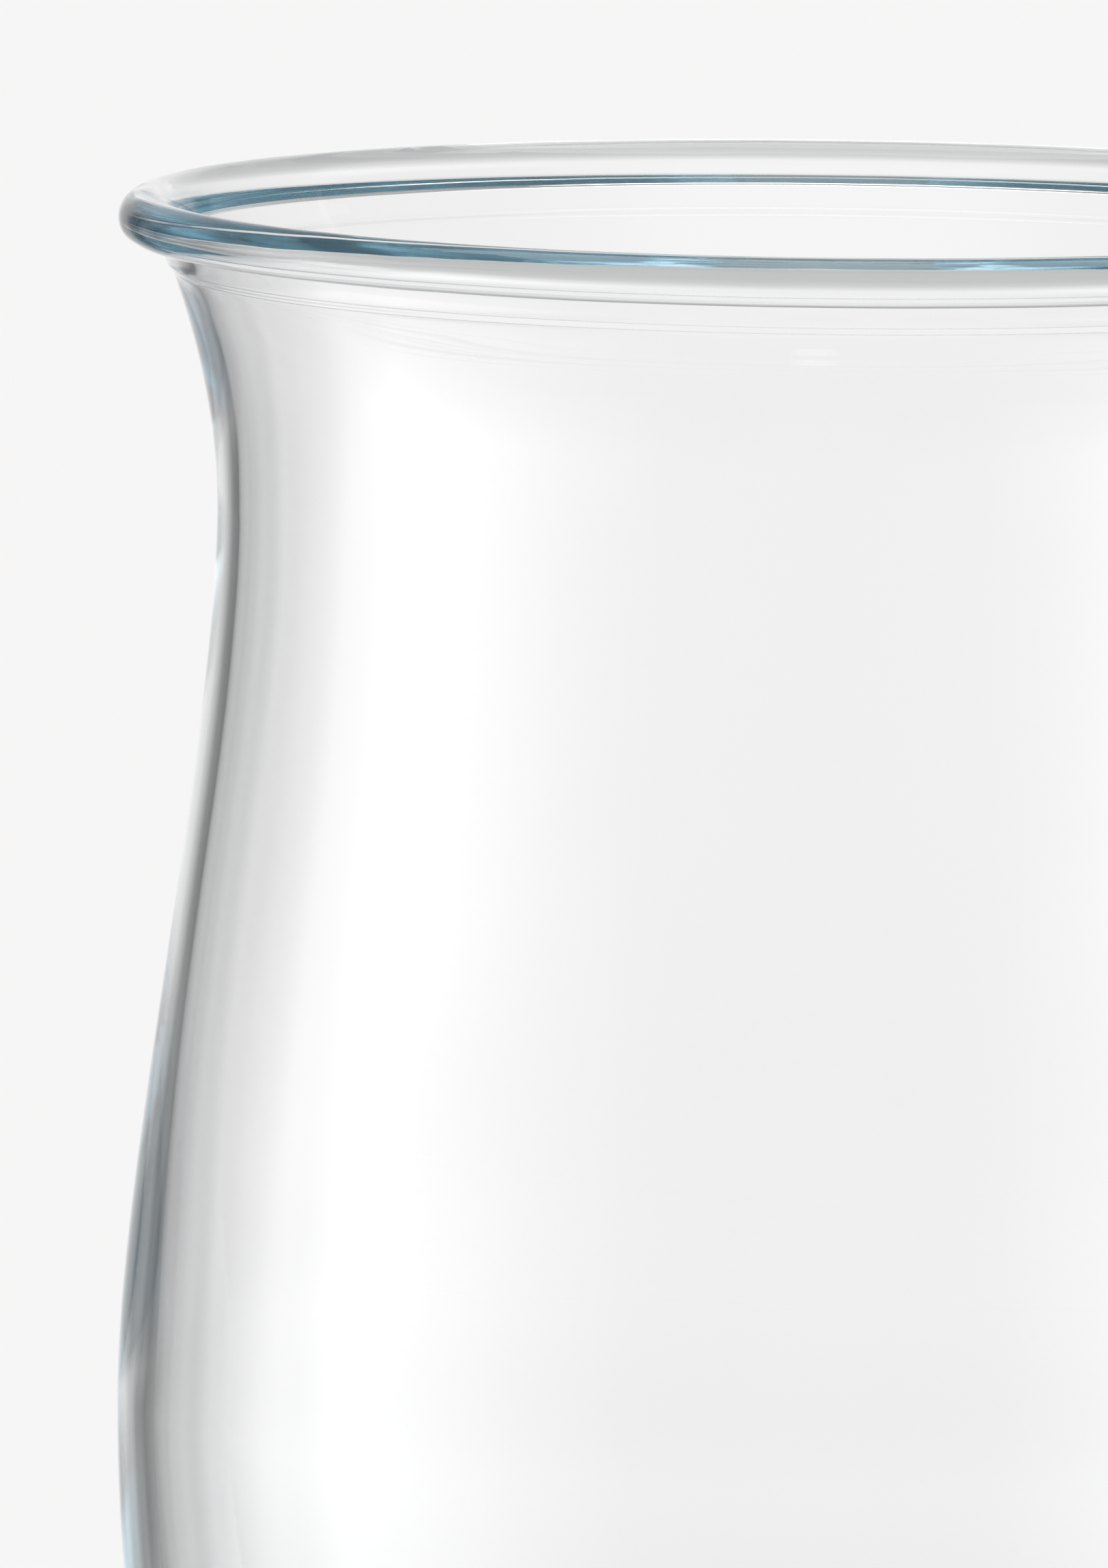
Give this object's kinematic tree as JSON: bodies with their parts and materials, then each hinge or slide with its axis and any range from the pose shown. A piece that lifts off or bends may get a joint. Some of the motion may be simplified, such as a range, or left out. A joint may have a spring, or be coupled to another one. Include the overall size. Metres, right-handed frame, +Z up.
{
  "type": "champagne glass",
  "caption": "Clear stemmed champagne glass: tulip bowl with a flared lip and a round bead at the rim, slender drawn stem and round foot.",
  "frame": {"origin": "centre of the foot's resting ring, on the surface the glass stands on", "axes": "+Z up along the axis of the glass, from the foot to the rim; X and Y are alike"},
  "size_m": [0.063, 0.063, 0.185],
  "materials": {
    "clear_glass": "clear colourless soda-lime glass, smooth and fire-polished, faintly blue-green through its long edges"
  },
  "bodies": {
    "root": {"bowl": "clear_glass", "stem": "clear_glass", "foot": "clear_glass"}
  },
  "joints": []
}
